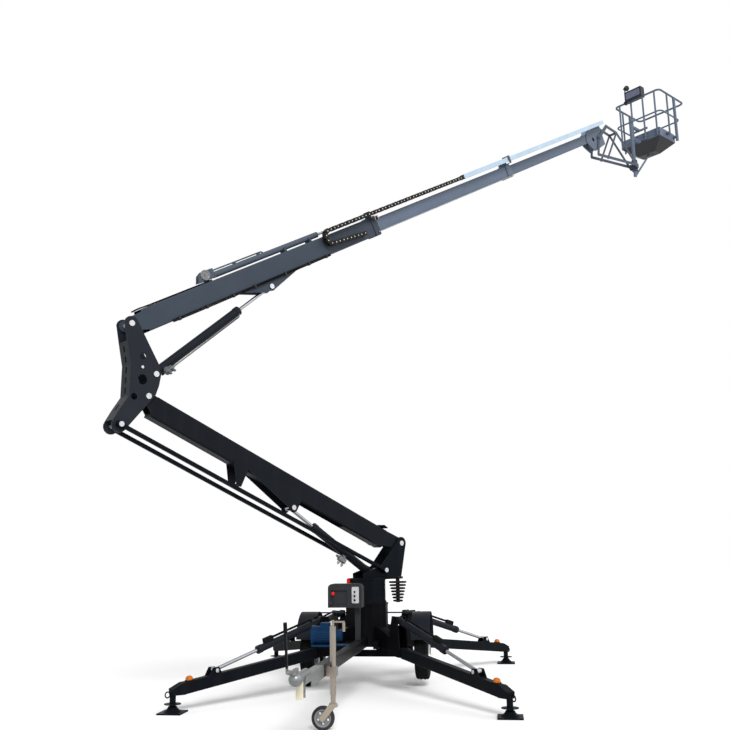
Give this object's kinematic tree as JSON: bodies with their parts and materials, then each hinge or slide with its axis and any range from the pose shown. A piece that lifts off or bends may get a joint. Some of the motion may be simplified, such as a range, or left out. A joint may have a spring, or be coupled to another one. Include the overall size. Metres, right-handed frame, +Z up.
{
  "type": "towable articulated boom lift",
  "caption": "Trailer-mounted articulated boom lift on hydraulic outriggers, with a parallelogram lower boom, a telescopic upper boom and a work basket.",
  "frame": {"origin": "floor level, middle of the bounding box", "axes": "+X along the booms towards the basket, +Z up"},
  "size_m": [12.771, 6.133, 11.7512],
  "materials": {
    "boom_paint": "satin",
    "black_paint": "satin",
    "galvanised": "satin",
    "zinc": "satin",
    "chrome": "gloss",
    "tyre": "matte",
    "motor_blue": "gloss",
    "box_grey": "matte",
    "chain_black": "matte",
    "cylinder_paint": "gloss",
    "carrier_pale": "satin",
    "rope_steel": "satin",
    "fork_cream": "satin",
    "basket_metal": "satin",
    "roller_rubber": "matte"
  },
  "bodies": {
    "chassis": {"chassis": "black_paint", "axle": "black_paint", "mudguards": "black_paint", "drawbar": "galvanised", "coupling": "zinc", "jockey_tube": "galvanised", "motor": "motor_blue", "ground_box": "box_grey", "outrigger_legs": "boom_paint", "outrigger_barrels": "boom_paint", "outrigger_rods": "chrome"},
    "wheel_left": {"tyre_left": "tyre", "rim_left": "zinc"},
    "wheel_right": {"tyre_right": "tyre", "rim_right": "zinc"},
    "jockey_swivel": {"jockey_fork": "fork_cream"},
    "jockey_roller": {"jockey_wheel": "roller_rubber"},
    "turret": {"turret": "boom_paint", "turret_pins": "zinc", "cable_coil": "chain_black"},
    "lower_boom": {"lower_boom": "boom_paint", "lower_pin": "zinc"},
    "tie_rods": {"tie_rods": "boom_paint"},
    "lower_barrel": {"lower_barrel": "boom_paint"},
    "lower_rod": {"lower_rod": "chrome"},
    "knuckle": {"knuckle": "boom_paint", "knuckle_pins": "zinc"},
    "base_boom": {"base_boom": "boom_paint", "upper_pin": "zinc", "tele_rod": "chrome"},
    "upper_rod": {"upper_rod": "chrome"},
    "upper_barrel": {"upper_barrel": "boom_paint"},
    "tele_barrel": {"tele_barrel": "cylinder_paint"},
    "mid_boom": {"mid_boom": "boom_paint", "extension_rope": "rope_steel", "energy_chain": "chain_black"},
    "inner_boom": {"inner_boom": "boom_paint", "cable_carrier": "carrier_pale"},
    "tip_carrier": {"tip_carrier": "boom_paint"},
    "basket": {"basket_cage": "basket_metal", "basket_floor": "basket_metal", "basket_box": "box_grey"}
  },
  "joints": [
    {"name": "wheel_left_spin", "type": "hinge", "parent": "chassis", "child": "wheel_left", "pos_m": [-2.17565, -0.62926, 0.398], "axis": [0.6521, -0.7581, 0], "continuous": true},
    {"name": "wheel_right_spin", "type": "hinge", "parent": "chassis", "child": "wheel_right", "pos_m": [-3.14597, 0.49884, 0.398], "axis": [0.6521, -0.7581, 0], "continuous": true},
    {"name": "jockey_turn", "type": "hinge", "parent": "chassis", "child": "jockey_swivel", "pos_m": [-4.86218, -2.10642, 0.24], "axis": [0, 0, 1], "continuous": true},
    {"name": "jockey_spin", "type": "hinge", "parent": "jockey_swivel", "child": "jockey_roller", "pos_m": [-4.92739, -2.0306, 0.113], "axis": [-0.7581, -0.6521, 0], "continuous": true},
    {"name": "slew", "type": "hinge", "parent": "chassis", "child": "turret", "pos_m": [-2.585, 0, 1.04], "axis": [0, 0, -1], "range_deg": [-40.7, 318]},
    {"name": "lower_lift", "type": "hinge", "parent": "turret", "child": "lower_boom", "pos_m": [-2.034, 0, 1.814], "axis": [0, 1, 0], "range_deg": [-22.9, 52.1]},
    {"name": "tie_turn", "type": "hinge", "parent": "turret", "child": "tie_rods", "pos_m": [-2.375, 0, 1.456], "axis": [0, 1, 0], "range_deg": [-22.92, 52.12]},
    {"name": "lower_barrel_turn", "type": "hinge", "parent": "turret", "child": "lower_barrel", "pos_m": [-2.525, 0, 1.415], "axis": [0, 1, 0], "range_deg": [-23.44, 53.31]},
    {"name": "lower_rod_slide", "type": "slide", "parent": "lower_barrel", "child": "lower_rod", "axis": [-0.8484, 0, 0.5294], "range_m": [-0.23157, 0.52621]},
    {"name": "knuckle_level", "type": "hinge", "parent": "lower_boom", "child": "knuckle", "pos_m": [-5.94535, 0, 3.46622], "axis": [0, 1, 0], "range_deg": [-52.12, 22.92]},
    {"name": "upper_lift", "type": "hinge", "parent": "knuckle", "child": "base_boom", "pos_m": [-6.19235, 0, 4.28722], "axis": [0, -1, 0], "range_deg": [-36.9, 42.35]},
    {"name": "upper_rod_turn", "type": "hinge", "parent": "base_boom", "child": "upper_rod", "pos_m": [-4.23532, 0, 5.12047], "axis": [0, -1, 0], "range_deg": [-2.44, 2.12]},
    {"name": "upper_barrel_slide", "type": "slide", "parent": "upper_rod", "child": "upper_barrel", "axis": [-0.7608, 0, -0.649], "range_m": [-0.38489, 0.44167]},
    {"name": "telescope", "type": "slide", "parent": "base_boom", "child": "mid_boom", "axis": [0.8691, 0, 0.4947], "range_m": [-2.9, 0]},
    {"name": "telescope_inner", "type": "slide", "parent": "mid_boom", "child": "inner_boom", "axis": [0.8691, 0, 0.4947], "range_m": [-2.6105, 0.0005]},
    {"name": "telescope_barrel", "type": "slide", "parent": "base_boom", "child": "tele_barrel", "axis": [0.8691, 0, 0.4947], "range_m": [-0.0005, 1.0503]},
    {"name": "basket_level", "type": "hinge", "parent": "inner_boom", "child": "tip_carrier", "pos_m": [3.68128, 0, 9.80407], "axis": [0, -1, 0], "range_deg": [-42.37, 36.92]},
    {"name": "basket_turn", "type": "hinge", "parent": "tip_carrier", "child": "basket", "pos_m": [5.075, 0, 10.275], "axis": [0, 0, 1], "range_deg": [-45, 45]}
  ],
  "couplings": [
    {"joint": "tie_turn", "follows": "lower_lift", "ratio": 1},
    {"joint": "lower_barrel_turn", "follows": "lower_lift", "ratio": 1.0228},
    {"joint": "lower_rod_slide", "follows": "lower_lift", "m_per_rad": 0.57814},
    {"joint": "knuckle_level", "follows": "lower_lift", "ratio": -1},
    {"joint": "upper_rod_turn", "follows": "upper_lift", "ratio": -0.05702},
    {"joint": "upper_barrel_slide", "follows": "upper_lift", "m_per_rad": 0.59686},
    {"joint": "basket_level", "follows": "upper_lift", "ratio": -1},
    {"joint": "telescope_inner", "follows": "telescope", "ratio": 0.9},
    {"joint": "telescope_barrel", "follows": "telescope", "ratio": -0.362}
  ]
}
